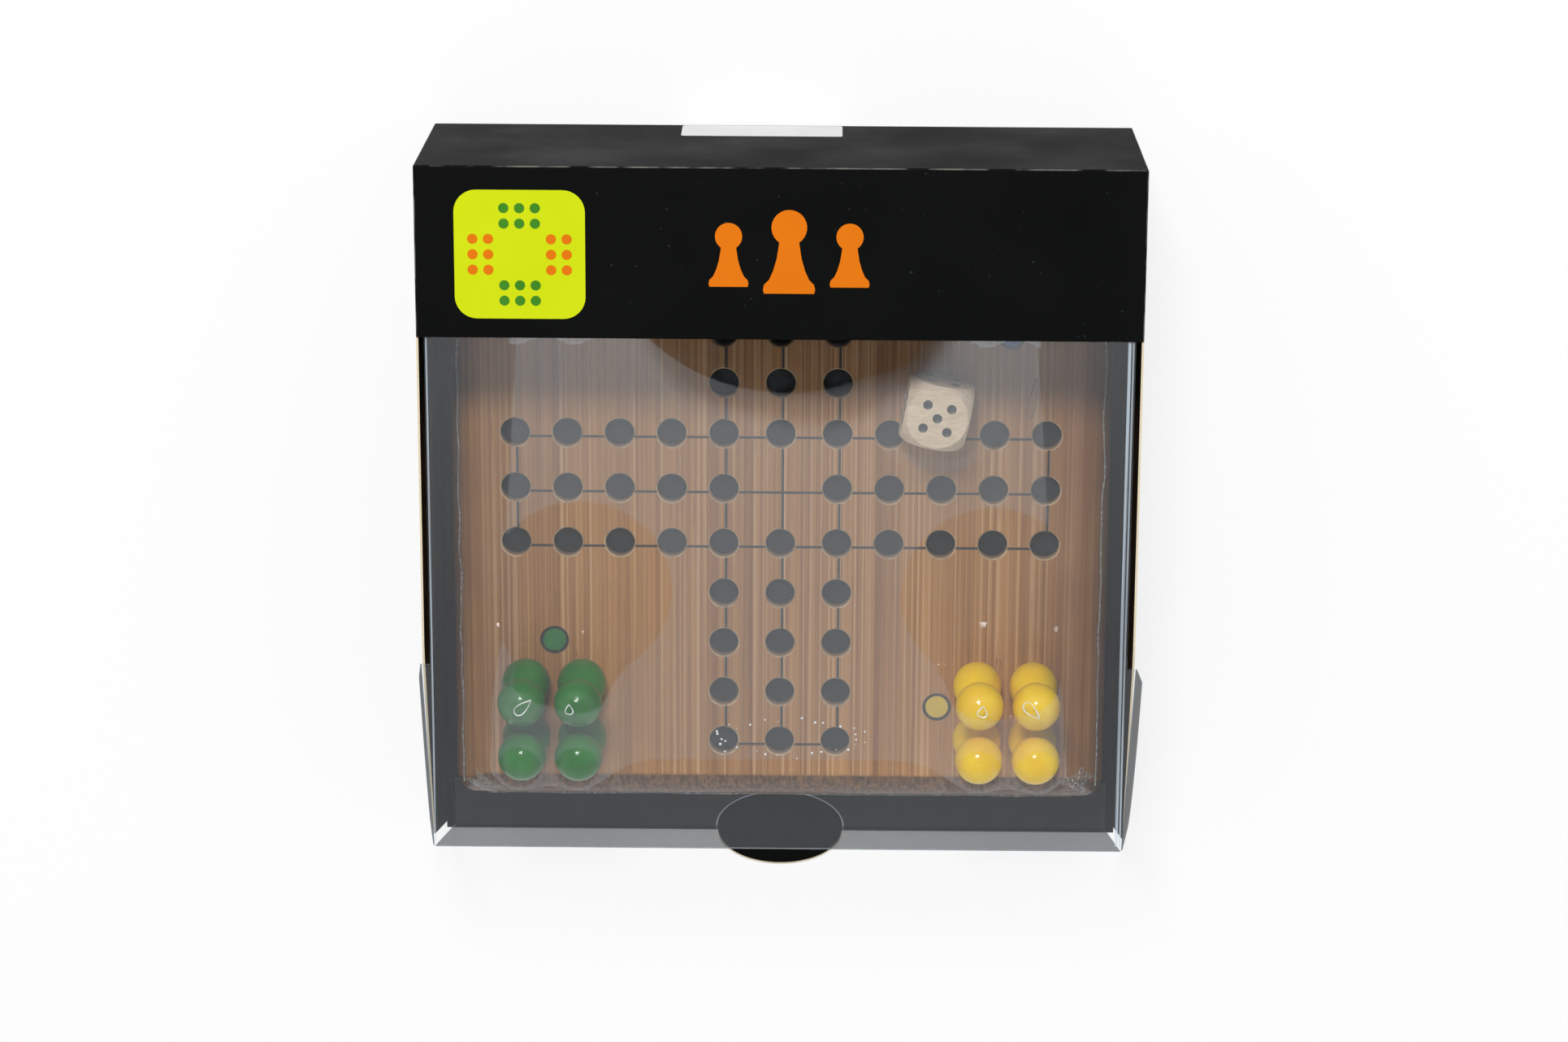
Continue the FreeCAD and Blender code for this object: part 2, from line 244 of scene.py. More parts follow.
def bamboo():
    """Pressed bamboo: long fine fibres in strips along Y, browner at the rims, speckled on its end grain."""
    g = Graph("bamboo")
    axes = g.axes()
    strip = g.math("FLOOR", g.times(axes[0], 1 / strip_width))
    tone = g.add("TexWhiteNoise", {"W": strip}, noise_dimensions="1D").outputs["Value"]
    fine = g.noise((1700, 9, 700), 3, rough=0.6)
    middle = g.noise((700, 5, 300), 3)
    broad = g.noise((60, 7, 40), 2)
    pores = g.span(g.noise((1900, 55, 900), 2), 0.66, 0.74)
    grain = g.plus(g.times(fine, 0.42), g.times(middle, 0.38))
    grain = g.plus(grain, g.times(broad, 0.16))
    grain = g.plus(grain, g.times(tone, 0.08))
    fac = g.span(grain, 0.38, 0.66)
    colour = g.mix(fac, (0.225, 0.090, 0.022), (0.490, 0.244, 0.080))
    hair = g.noise((1500, 3, 600), 1)
    colour = g.mix(g.times(g.span(hair, 0.57, 0.65), 0.48), colour, (0.64, 0.41, 0.21))
    colour = g.mix(g.times(g.span(hair, 0.42, 0.34), 0.22), colour, (0.20, 0.085, 0.028))
    colour = g.mix(g.times(pores, 0.50), colour, (0.15, 0.056, 0.016))
    rim = g.span(g.math("ABSOLUTE", axes[0]), 52 * mm, 76 * mm)
    patch = g.times(rim, g.span(g.noise((30, 22, 30), 3), 0.30, 0.62))
    colour = g.mix(g.times(patch, 0.75), colour, (0.170, 0.066, 0.022))
    normal = g.add("NewGeometry").outputs["Normal"]
    facing = g.math("ABSOLUTE", g.axes(normal)[1])
    speckle = g.noise((1300, 400, 1300), 4, rough=0.7)
    ends = g.mix(g.span(speckle, 0.40, 0.62), (0.060, 0.026, 0.010), (0.20, 0.095, 0.036))
    colour = g.mix(g.span(facing, 0.08, 0.18), colour, ends)
    normal = g.bump(g.plus(fine, g.times(pores, -0.6)), 0.05 * mm, 0.6)
    rough = g.span(fine, 0.3, 0.7, 0.42, 0.58)
    return g.surface(g.principled(colour, rough, Normal=normal, Coat_Weight=0.12))


def paint(name, colour, dark, rough=0.45):
    """Paint in a cut of the wood, a little uneven."""
    g = Graph(name)
    vary = g.noise((500, 160, 500), 3)
    shade = g.mix(g.span(vary, 0.32, 0.68), dark, colour)
    return g.surface(g.principled(shade, rough, Normal=g.bump(vary, 0.05 * mm)))


def hole_wall():
    """The inside of a peg hole: bare wood at its mouth, painted darker further down as shade inside the hole,
    with a black floor.
    """
    g = Graph("hole_wall")
    level = g.axes()[2]
    # Painted shade: the wall's colour darkens with depth below the mouth.
    depth = g.span(level, board_top - 0.3 * mm, board_top - hole_depth + 0.3 * mm)
    colour = g.mix(depth, (0.44, 0.29, 0.17), (0.030, 0.022, 0.018))
    floor = g.span(level, board_top - hole_depth + 0.2 * mm, board_top - hole_depth + 0.05 * mm)
    colour = g.mix(floor, colour, (0.004, 0.004, 0.004))
    return g.surface(g.principled(colour, 0.6))


def lacquer(name, colour, deep):
    """Gloss lacquer on turned wood, with faint rings of the tool and a worn spot on top of the head."""
    g = Graph(name)
    spot = g.add("TexCoord").outputs["Generated"]
    centred = g.add("VectorMath", {0: spot, 1: (0.5, 0.5, 0.0)}, operation="SUBTRACT").outputs[0]
    axes = g.axes(centred)
    across = g.add("CombineXYZ", {"X": axes[0], "Y": axes[1]}).outputs[0]
    radius = g.add("VectorMath", {0: across}, operation="LENGTH").outputs["Value"]
    top = g.span(axes[2], 0.93, 0.97)
    ring = g.times(top, g.span(g.math("ABSOLUTE", g.math("SUBTRACT", radius, 0.11)), 0.035, 0.0))
    cloud = g.noise((160, 160, 70), 4)
    turned = g.noise((60, 60, 1600), 2)
    shade = g.mix(g.span(cloud, 0.30, 0.70), deep, colour)
    shade = g.mix(g.times(ring, 0.45), shade, deep)
    height = g.plus(g.times(turned, 0.35), g.times(cloud, 0.8))
    height = g.math("SUBTRACT", height, g.times(ring, 0.8))
    normal = g.bump(height, 0.10 * mm, 0.5)
    rough = g.span(cloud, 0.3, 0.7, 0.30, 0.42)
    gloss = {"Specular_IOR_Level": 0.12, "Coat_Weight": 0.45, "Coat_Roughness": 0.05}
    return g.surface(g.principled(shade, rough, Normal=normal, **gloss))


def pale_wood():
    """The die's light wood, with fine grain along X."""
    g = Graph("pale_wood")
    fine = g.noise((350, 1500, 1500), 4, rough=0.65)
    broad = g.noise((90, 220, 220), 2)
    pores = g.span(g.noise((420, 2400, 2400), 2), 0.64, 0.74)
    fac = g.plus(g.times(fine, 0.6), g.times(broad, 0.4))
    colour = g.mix(g.span(fac, 0.35, 0.65), (0.56, 0.40, 0.25), (0.78, 0.64, 0.47))
    colour = g.mix(g.times(pores, 0.35), colour, (0.36, 0.23, 0.12))
    normal = g.bump(g.math("SUBTRACT", fine, pores), 0.04 * mm, 0.6)
    return g.surface(g.principled(colour, 0.55, Normal=normal))


def paper():
    """Plain leaflet paper."""
    g = Graph("leaflet_paper")
    fibre = g.noise((1800, 1800, 1800), 4)
    colour = g.mix(fibre, (0.72, 0.71, 0.68), (0.83, 0.82, 0.79))
    return g.surface(g.principled(colour, 0.85, Normal=g.bump(fibre, 0.02 * mm)))


def label_paper():
    """A plain sticker, left blank."""
    g = Graph("label_paper")
    cloud = g.noise((120, 120, 120), 3)
    colour = g.mix(cloud, (0.55, 0.55, 0.54), (0.66, 0.66, 0.65))
    return g.surface(g.principled(colour, 0.5, Normal=g.bump(cloud, 0.03 * mm), Specular_IOR_Level=0.2))


def ink(name, colour, deep):
    """Print on the card, under the same varnish."""
    g = Graph(name)
    cloud = g.noise((70, 70, 70), 3)
    fine = g.noise((2500, 2500, 2500), 3)
    shade = g.mix(g.span(cloud, 0.3, 0.7), deep, colour)
    return g.surface(g.principled(shade, 0.42, Normal=g.bump(fine, 0.015 * mm, 0.5), Specular_IOR_Level=0.05))


def film_surface():
    """Shrink film: clear, with a thin mirror sheen, and a painted reflection veil: strong, flat sheen with a
    faint haze inside the veil, faint sheen elsewhere.
    The piece's own point attribute is how far a place lies inside the painted veil, in millimetres."""
    g = Graph("shrink_film")
    painted_veil = g.span(g.add("Attribute", attribute_name="painted_veil").outputs["Fac"], -0.25, 0.25)
    normal = g.bump(g.noise((120, 120, 120), 2), 0.25 * mm, 0.5)
    flat = g.add("CombineXYZ", {"Z": 1.0}).outputs[0]
    # Painted reflection: the map sets how strong the mirror sheen is, and lays it flat inside the veil.
    share = g.plus(g.span(painted_veil, 0, 1, 0.010, 0.100), g.times(g.grazing(5.0), 0.10))
    sheen = []
    for turned in (normal, flat):
        sheen.append(g.add("BsdfGlossy", {"Roughness": 0.03, "Normal": turned}).outputs[0])
    through = g.add("BsdfTransparent", {"Color": (0.995, 0.995, 0.995)}).outputs[0]
    haze = g.add("BsdfDiffuse", {"Color": (0.74, 0.80, 0.86)}).outputs[0]
    body = g.blend(g.times(painted_veil, 0.012), through, haze)
    return g.surface(g.blend(share, body, g.blend(painted_veil, *sheen)))


def film_ridge(name, colour, milk_low, milk_high):
    """The welded, folded and crumpled parts of the film, which have gone milky and catch more light; a whiter
    copy paints highlights and sparkles on the film.
    """
    g = Graph(name)
    crinkle = g.noise((1200, 1200, 1200), 3)
    normal = g.bump(crinkle, 0.15 * mm)
    share = g.plus(0.06, g.times(g.grazing(5.0, normal), 0.8))
    through = g.add("BsdfTransparent", {"Color": (0.9, 0.9, 0.9)}).outputs[0]
    sheen = g.add("BsdfGlossy", {"Color": (0.95, 0.95, 0.95), "Roughness": 0.18, "Normal": normal}).outputs[0]
    milk = g.add("BsdfDiffuse", {"Color": colour}).outputs[0]
    body = g.blend(g.span(crinkle, 0.35, 0.65, milk_low, milk_high), through, milk)
    return g.surface(g.blend(share, body, sheen))


def floor_surface():
    """A white floor: it shows as white, and keeps a part of the object's shadow."""
    g = Graph("floor")
    path = g.add("LightPath").outputs
    seen = g.math("MAXIMUM", path["Is Camera Ray"], path["Is Glossy Ray"])
    seen = g.math("MAXIMUM", seen, path["Is Transmission Ray"])
    lit = g.add("BsdfDiffuse", {"Color": (0.90, 0.90, 0.90)}).outputs[0]
    glow = g.add("Emission", {"Color": (1, 1, 1), "Strength": 1.0}).outputs[0]
    return g.surface(g.blend(g.times(seen, 0.80), lit, glow))


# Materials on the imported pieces, face by face

def dress(name, materials, choose):
    """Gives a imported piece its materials; choose(centre, normal) says which one a face has."""
    mesh = nodes[name].data
    mesh.materials.clear()
    for material in materials:
        mesh.materials.append(material)
    count = len(mesh.polygons)
    centres = np.empty(count * 3)
    normals = np.empty(count * 3)
    mesh.polygons.foreach_get("center", centres)
    mesh.polygons.foreach_get("normal", normals)
    picked = choose(centres.reshape(-1, 3).T, normals.reshape(-1, 3).T)
    mesh.polygons.foreach_set("material_index", np.asarray(picked, dtype=np.int32))
    mesh.update()


def plain_faces(centre, normal):
    """One material on every face."""
    return np.zeros(centre.shape[1])


def carton_faces(centre, normal):
    """0 black print, 1 cut edge: what faces the open end, and the tops of the walls beside the window."""
    x, y, z = centre
    front = (np.abs(normal[2]) < 0.2) & (normal[1] < -0.05) & (y < window_edge + 0.1 * mm)
    wall_top = (normal[2] > 0.1) & (np.abs(x) > inner_half - 0.01 * mm) & (z > 1 * mm) & (y < window_edge)
    return np.where(front | wall_top, 1, 0)


def cover_faces(centre, normal):
    """0 clear sheet, 1 its cut edge."""
    ends = np.abs(normal[1]) > 0.5
    sides = (np.abs(normal[0]) > 0.5) & (centre[2] > cover_side_low)
    return np.where(ends | sides, 1, 0)


def flap_faces(centre, normal):
    """0 clear sheet, 1 its cut edge: all but the tuck, the sloping end and the thumb hole."""
    upright = np.abs(normal[2]) > 0.98
    along = np.abs(normal[1] * -math.cos(flap_lean) + normal[2] * math.sin(flap_lean)) > 0.98
    beside = np.abs(centre[0]) < thumb_half + 0.2 * mm
    thumb_hole = beside & (centre[2] > 1.2 * mm) & (centre[2] < 12 * mm)
    return np.where(upright | along | thumb_hole, 0, 1)


def ear_faces(centre, normal):
    """0 clear sheet, 1 its cut edge."""
    return np.where(np.abs(normal[0]) > 0.9, 0, 1)


def board_faces(centre, normal):
    """0 wood, 1 hole, 2 line and ring, 3 hole rim, 4 to 7 start marks."""
    x, y, z = centre
    rim = board_round + 0.5 * mm
    inside = (np.abs(x) < board_high[0] - rim) & (np.abs(y - board_mid_y) < board_high[1] - board_mid_y - rim)
    deep = board_top - z
    cut = inside & (deep > 0.005 * mm) & (deep < hole_depth + 2 * mm)
    picked = np.zeros(len(x), dtype=int)
    picked[cut] = 2
    picked[cut & (deep > line_depth)] = 1
    picked[cut & (np.abs(normal[2] - 0.707) < 0.12)] = 3
    mark = cut & (normal[2] > 0.99) & (np.abs(deep - mark_depth) < 0.02 * mm)
    corner = np.where(y < board_mid_y, np.where(x < 0, 4, 5), np.where(x < 0, 7, 6))
    picked[mark] = corner[mark]
    return picked


die_low, die_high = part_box("die")
die_centre = (np.array(die_low) + np.array(die_high)) / 2
die_half = (die_high[2] - die_low[2]) / 2
die_turn = math.radians(-11)


def die_faces(centre, normal):
    """0 wood, 1 pip: a face that dips below its side of the cube."""
    cos, sin = math.cos(die_turn), math.sin(die_turn)
    dx, dy, dz = centre - die_centre[:, None]
    local = np.array([cos * dx + sin * dy, -sin * dx + cos * dy, dz])
    reach = np.abs(local).max(axis=0)
    off_axis = np.sqrt((local**2).sum(axis=0) - reach**2)
    return np.where((die_half - reach > 0.01 * mm) & (off_axis < 5.5 * mm), 1, 0)


card_black = black_card()
clear = clear_sheet("clear_sheet", square_on=0.040, edge_on=0.80)
clear_flap = clear_sheet("clear_flap", square_on=0.008, edge_on=0.80)
# Painted shade: the ears get a greyer copy of the clear sheet, standing for the grey surroundings seen in and
# through them.
clear_ear_painted_shade = clear_sheet("clear_ear_painted_shade", square_on=0.016, edge_on=0.43)
clear_edge = sheet_edge("clear_sheet_edge", (0.10, 0.13, 0.16), (0.26, 0.31, 0.35))
pale_edge = sheet_edge("clear_flap_edge", (0.36, 0.39, 0.42), (0.60, 0.63, 0.66))
carton_edge = cut_edge()
dress("carton", [card_black, carton_edge], carton_faces)
dress("window_cover", [clear, clear_edge], cover_faces)
dress("end_flap", [clear_flap, pale_edge], flap_faces)
dress("ear_left", [clear_ear_painted_shade, clear_edge], ear_faces)
dress("ear_right", [clear_ear_painted_shade, clear_edge], ear_faces)
dress("rules_leaflet", [paper()], plain_faces)
dress(
    "board",
    [
        bamboo(),
        hole_wall(),
        paint("line_grey", (0.045, 0.042, 0.040), (0.016, 0.014, 0.013), 0.6),
        paint("hole_rim", (0.55, 0.40, 0.24), (0.34, 0.20, 0.10), 0.5),
        paint("mark_green", (0.030, 0.190, 0.045), (0.020, 0.130, 0.030)),
        paint("mark_yellow", (0.66, 0.50, 0.060), (0.56, 0.40, 0.04)),
        paint("mark_blue", (0.030, 0.130, 0.42), (0.020, 0.09, 0.32)),
        paint("mark_red", (0.45, 0.030, 0.020), (0.34, 0.02, 0.015)),
    ],
    board_faces,
)
dress("die", [pale_wood(), paint("pip_paint", (0.022, 0.018, 0.016), (0.012, 0.010, 0.009))], die_faces)
lacquers = {
    "green": ((0.022, 0.190, 0.024), (0.010, 0.120, 0.012)),
    "yellow": ((0.92, 0.62, 0.001), (0.84, 0.50, 0.001)),
    "blue": ((0.020, 0.110, 0.44), (0.012, 0.070, 0.32)),
    "red": ((0.50, 0.020, 0.014), (0.36, 0.012, 0.008)),
}
for colour, shades in lacquers.items():
    coat = lacquer(colour + "_lacquer", *shades)
    for number in range(1, 5):
        dress(f"{colour}_peg_{number}", [coat], plain_faces)


def smooth(name, degrees):
    """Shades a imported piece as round, but keeps edges sharper than an angle."""
    mesh = nodes[name].data
    mesh.shade_smooth()
    mesh.set_sharp_from_angle(angle=math.radians(degrees))


for name in nodes:
    if name != "shrink_film":
        smooth(name, degrees=30)


# Pieces made here

def piece(name, verts, faces, material, body, shade=True):
    """A piece of the scene's own, which moves with a body of the part."""
    mesh = bpy.data.meshes.new(name)
    mesh.from_pydata([tuple(v) for v in verts], [], [tuple(f) for f in faces])
    mesh.materials.append(material)
    if shade:
        mesh.shade_smooth()
    obj = bpy.data.objects.new(name, mesh)
    bpy.context.scene.collection.objects.link(obj)
    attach(obj, body)
    return obj


# The shrink film, relaxed like a soap skin over the pegs, the die and the board

film_gap = 0.35 * mm
film_step = 1 * mm
film_margin = 0.4 * mm
film_rim_fall = 9 * mm
film_start = 8 * mm
film_overhang = 7 * mm
film_sweeps = 500
over_relaxed = 1.93
head_room = 1.3 * film_step
die_room = 1.2 * film_step
die_corner = 1.75
no_support = -1.0
skirt_levels = (9, 6, 3)

# Where the film rises from the board to the pegs of each end, and where the painted reflection veil is left
# off:
# circles seen from above, as x, y and radius
open_slopes = [(-47 * mm, -27 * mm, 21.5 * mm), (50 * mm, -28 * mm, 21.5 * mm)]
closed_slopes = [(-53 * mm, 52 * mm, 25 * mm), (53 * mm, 52 * mm, 25 * mm)]
die_slope = (die_centre[0], die_centre[1], 24 * mm)
bare_heads = [(column, lower_heads_y, 5 * mm) for column in head_columns]
bare_end = (1 * mm, 67 * mm, 46 * mm)

# Straight folds: x and y of both ends, and the height, in millimetres
film_folds = ((58, 16, 61, 30, 0.5), (-64, -12, -45, -9, 0.25), (30, 26, 45, 33, 0.2))


def peg_names():
    """The names of the sixteen pegs."""
    return [f"{colour}_peg_{number}" for colour in lacquers for number in range(1, 5)]


def smoothstep(value, low, high):
    """0 below a low value, 1 above a high one, and a smooth rise between."""
    t = np.clip((value - low) / (high - low), 0, 1)
    return t * t * (3 - 2 * t)


def film_support(x, y):
    """The height of what the film lies on, with the pegs and the die at the top of their lift."""
    inset_x = board_high[0] - np.abs(x)
    inset_y = (board_high[1] - board_mid_y) - np.abs(y - board_mid_y)
    least = np.minimum(inset_x, inset_y)
    inset = np.clip(least, 0, board_round)
    height = board_top - board_round + np.sqrt(np.maximum(board_round**2 - (board_round - inset) ** 2, 0))
    height = np.where(least < 0, no_support, height)
    reach = head_radius + head_room
    for name in peg_names():
        low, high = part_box(name)
        away = (x - (low[0] + high[0]) / 2) ** 2 + (y - (low[1] + high[1]) / 2) ** 2
        dome = head_radius * np.sqrt(np.maximum(1 - away / reach**2, 0))
        ball = high[2] - head_radius + peg_lift + dome
        height = np.where(away < reach**2, np.maximum(height, ball), height)
    dx, dy = x - die_centre[0], y - die_centre[1]
    u = np.abs(math.cos(die_turn) * dx + math.sin(die_turn) * dy)
    v = np.abs(-math.sin(die_turn) * dx + math.cos(die_turn) * dy)
    reach = die_half + die_room
    on_die = (np.maximum(u, v) < reach) & (u + v < die_corner * reach)
    height = np.where(on_die, np.maximum(height, die_high[2] + peg_lift), height)
    return height + film_gap


def outside(x, y, circle):
    """How far a place lies outside a circle."""
    return np.hypot(x - circle[0], y - circle[1]) - circle[2]


def film_painted_veil(x, y):
    """How far a place lies inside the painted reflection veil of the film: not on its rims, nor on the taut
    slopes up to the heads of the open end, nor over the bare lower heads and the middle of the closed end."""
    inside = np.minimum(x + 63.5 * mm - 0.06 * y, 62.0 * mm - 0.08 * y - x)
    for circle in open_slopes:
        inside = np.minimum(inside, np.maximum(outside(x, y, circle), -51 * mm - y))
    for circle in bare_heads + [bare_end]:
        inside = np.minimum(inside, outside(x, y, circle))
    return np.minimum(inside, y + 69 * mm)


def film_contact(x, y):
    """Where the film lies flat on the board, away from the rims, the pegs and the die."""
    touch = (np.abs(x) < 62 * mm) & (np.abs(y - board_mid_y) < 63 * mm)
    touch &= (np.abs(x) < 35 * mm) | (y > -46 * mm)
    for circle in open_slopes + closed_slopes + [die_slope]:
        touch &= outside(x, y, circle) > -film_overhang
    return touch


def relaxed_film(x, y):
    """The height of the film on a grid: it sinks like a soap skin, but not into what it covers."""
    support = film_support(x, y)
    contact = film_contact(x, y)
    height = np.maximum(support, board_top + film_start)
    height[0, :] = height[-1, :] = board_top - film_rim_fall
    height[:, 0] = height[:, -1] = board_top - film_rim_fall
    height[contact] = support[contact]
    inner = height[1:-1, 1:-1]
    least = support[1:-1, 1:-1]
    free = ~contact[1:-1, 1:-1]
    parity = np.indices(inner.shape).sum(axis=0) % 2
    for sweep in range(film_sweeps):
        for turn in (0, 1):
            mean = (height[:-2, 1:-1] + height[2:, 1:-1] + height[1:-1, :-2] + height[1:-1, 2:]) / 4
            moved = np.maximum(inner + over_relaxed * (mean - inner), least)
            now = (parity == turn) & free
            inner[now] = moved[now]
    return height


def fan_creases(x, y):
    """Fine creases that fan out from the upper heads of the open end."""
    rise = np.zeros_like(x)
    for column in head_columns:
        dx, dy = x - column, y - upper_heads_y
        away = np.hypot(dx, dy)
        ray = np.sin(9 * np.arctan2(dy, dx) + column / mm)
        fade = smoothstep(away, 4 * mm, 8 * mm) * smoothstep(-away, -22 * mm, -9 * mm)
        rise += 0.22 * mm * np.abs(ray) * fade
    return rise


def fold_creases(x, y):
    """Low straight folds, which fade at their ends."""
    rise = np.zeros_like(x)
    for x0, y0, x1, y1, tall in film_folds:
        run = np.array([x1 - x0, y1 - y0]) * mm
        dx, dy = x - x0 * mm, y - y0 * mm
        t = (dx * run[0] + dy * run[1]) / (run @ run)
        off = np.abs(dx * run[1] - dy * run[0]) / np.linalg.norm(run)
        fade = smoothstep(t, 0, 0.2) * smoothstep(-t, -1, -0.8)
        rise += tall * mm * np.exp(-((off / (1.1 * mm)) ** 2)) * fade
    return rise


def grid_faces(index):
    """The four-cornered faces of a grid of numbered points."""
    corners = [index[:-1, :-1], index[1:, :-1], index[1:, 1:], index[:-1, 1:]]
    return np.stack(corners, -1).reshape(-1, 4)


def build_film():
    """The film's skin, with a skirt down the sides of the board; also the heights of the skin."""
    xs = np.arange(board_low[0] - film_margin, board_high[0] + film_margin + 0.05 * mm, film_step)
    ys = np.arange(board_low[1] - film_margin, board_high[1] + film_margin + 0.05 * mm, film_step)
    x, y = np.meshgrid(xs, ys, indexing="ij")
    rise = fan_creases(x, y) + fold_creases(x, y)
    rise[0, :] = rise[-1, :] = rise[:, 0] = rise[:, -1] = 0
    height = relaxed_film(x, y) + rise
    index = np.arange(height.size).reshape(height.shape)
    verts = [np.stack([x, y, height], -1).reshape(-1, 3)]
    faces = [grid_faces(index)]
    above = np.concatenate([index[:-1, 0], index[-1, :-1], index[:0:-1, -1], index[0, :0:-1]])
    rim = verts[0][above]
    count = len(rim)
    for row, level in enumerate(skirt_levels):
        wave = 0.15 * mm * np.sin(np.arange(count) * 0.9 + level)
        edge = rim.copy()
        edge[:, 2] = level * mm + wave
        verts.append(edge)
        here = height.size + row * count + np.arange(count)
        faces.append(np.stack([above, np.roll(above, -1), np.roll(here, -1), here], -1)[:, ::-1])
        above = here
    points = np.concatenate(verts)
    obj = piece("film_hood", points, np.concatenate(faces).tolist(), film_surface(), "tray")
    # Painted reflection: the veil map rides on the skin as a point attribute.
    painted_veil = np.full(len(points), -1.0)
    painted_veil[: height.size] = film_painted_veil(x, y).reshape(-1) / mm
    layer = obj.data.attributes.new("painted_veil", "FLOAT", "POINT")
    layer.data.foreach_set("value", painted_veil.astype(np.float32))
    return obj, (xs, ys, height)


film_hood, film_field = build_film()
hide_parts("shrink_film")


def film_height(px, py):
    """The height of the film's skin at the grid point next to a place."""
    xs, ys, height = film_field
    i = np.clip(np.round((px - xs[0]) / (xs[1] - xs[0])).astype(int), 0, len(xs) - 1)
    j = np.clip(np.round((py - ys[0]) / (ys[1] - ys[0])).astype(int), 0, len(ys) - 1)
    return height[i, j]


def tube(name, path, radius, material, sides=6):
    """A thin tube along a path on the film; radius is one number or one per point."""
    path = np.asarray(path)
    radius = np.broadcast_to(radius, (len(path),))
    along = np.gradient(path, axis=0)
    along /= np.linalg.norm(along, axis=1)[:, None]
    side = np.cross(along, np.array([0.0, 0.0, 1.0]))
    side /= np.linalg.norm(side, axis=1)[:, None]
    up = np.cross(side, along)
    verts = []
    for k in range(sides):
        turn = 2 * math.pi * k / sides
        verts.append(path + radius[:, None] * (math.cos(turn) * side + math.sin(turn) * up))
    count = len(path)
    verts = np.stack(verts, 1).reshape(-1, 3)
    faces = []
    for p in range(count - 1):
        for k in range(sides):
            n = (k + 1) % sides
            faces.append((p * sides + k, p * sides + n, (p + 1) * sides + n, (p + 1) * sides + k))
    faces.append(tuple(range(sides))[::-1])
    faces.append(tuple((count - 1) * sides + k for k in range(sides)))
    return piece(name, verts, faces, material, "tray")


ridge = film_ridge("film_ridge", (0.62, 0.60, 0.56), 0.10, 0.42)
# A whiter copy that paints highlights and sparkles on the film.
painted_glint = film_ridge("film_painted_glint", (0.92, 0.93, 0.94), 0.75, 0.95)


def seam(name, start, end):
    """The welded seam of the film on the rounded rim, wavering as it runs."""
    count = 170
    t = np.linspace(0, 1, count)[:, None]
    path = np.array(start) * (1 - t) + np.array(end) * t
    run = np.array(end) - np.array(start)
    across = np.array([-run[1], run[0]]) / np.hypot(*run)
    waver = np.convolve(chance.normal(0, 1, count + 14), np.hanning(15) / 4, "valid")
    path = path + across * (0.35 * mm * waver)[:, None]
    path = np.clip(path, np.array(board_low[:2]) + 0.1 * mm, np.array(board_high[:2]) - 0.1 * mm)
    height = film_support(path[:, 0], path[:, 1]) + 0.1 * mm
    radius = 0.16 * mm + 0.10 * mm * np.abs(np.sin(np.arange(count) * 1.7 + 3 * waver))
    points = np.column_stack([path, height])
    return tube(name, points, radius, ridge)


seam_x = board_high[0] - 2.0 * mm
seam_low = board_low[1] + 0.25 * mm
seam_high = board_high[1] - 0.6 * mm
seams = [
    seam("film_seam_left", (-seam_x, board_low[1] + 4 * mm), (-seam_x, board_high[1] - 4 * mm)),
    seam("film_seam_right", (seam_x, board_low[1] + 4 * mm), (seam_x, board_high[1] - 4 * mm)),
    seam("film_seam_open_end", (-70 * mm, seam_low), (70 * mm, seam_low)),
    seam("film_seam_closed_end", (-70 * mm, seam_high), (70 * mm, seam_high)),
]


def crumple(name, x, y, turn, size, seed):
    """A folded corner of the film, crumpled against the rim of the board."""
    rolls = np.random.RandomState(seed)
    count = 15
    u, v = np.meshgrid(np.linspace(-1, 1, count), np.linspace(-1, 1, count), indexing="ij")
    fold = np.zeros_like(u)
    for k in range(5):
        angle = rolls.uniform(0, math.pi)
        wave = u * math.cos(angle) + v * math.sin(angle)
        zigzag = np.abs(((wave * rolls.uniform(1.2, 2.4) + rolls.uniform(0, 1)) % 2) - 1)
        fold += zigzag * rolls.uniform(0.3, 0.7)
    fade = (1 - u**2) * (1 - v**2)
    across = size * (u * (0.75 + 0.25 * np.sin(3 * v + seed)))
    down = 0.55 * size * v
    cos, sin = math.cos(turn), math.sin(turn)
    px = x + cos * across - sin * down
    py = y + sin * across + cos * down
    px = np.clip(px, board_low[0] - film_margin, board_high[0] + film_margin)
    py = np.clip(py, board_low[1] - film_margin, board_high[1] + film_margin)
    height = film_height(px, py) + 0.25 * mm + 0.9 * mm * fold * fade
    faces = grid_faces(np.arange(u.size).reshape(u.shape))
    verts = np.stack([px, py, height], -1).reshape(-1, 3)
    return piece(name, verts, faces.tolist(), ridge, "tray", shade=False)


crumples = [
    crumple("film_fold_right", 71 * mm, board_low[1] + 7.5 * mm, math.radians(-55), 5 * mm, 3),
    crumple("film_fold_left", -70 * mm, board_low[1] + 4.5 * mm, math.radians(-35), 4.5 * mm, 5),
    crumple("film_fold_back_right", 70 * mm, board_high[1] - 4.5 * mm, math.radians(-35), 4.5 * mm, 8),
    crumple("film_fold_back_left", -70 * mm, board_high[1] - 4.5 * mm, math.radians(35), 4.5 * mm, 11),
]


def pleat(name, x, y, length, width, degrees, thick, material):
    """A narrow leaf-shaped pleat of the film, a thin raised loop; in the whiter glint material it is a
    painted highlight of the lamp.
    """
    turns = np.linspace(0, 2 * math.pi, 41)
    along = length / 2 * np.cos(turns)
    across = width / 2 * np.sin(turns) * (1 - 0.55 * np.cos(turns))
    cos, sin = math.cos(math.radians(degrees)), math.sin(math.radians(degrees))
    px = x + cos * along - sin * across
    py = y + sin * along + cos * across
    radius = thick * (0.75 + 0.25 * np.sin(2 * turns))
    return tube(name, np.column_stack([px, py, film_height(px, py) + thick]), radius, material)
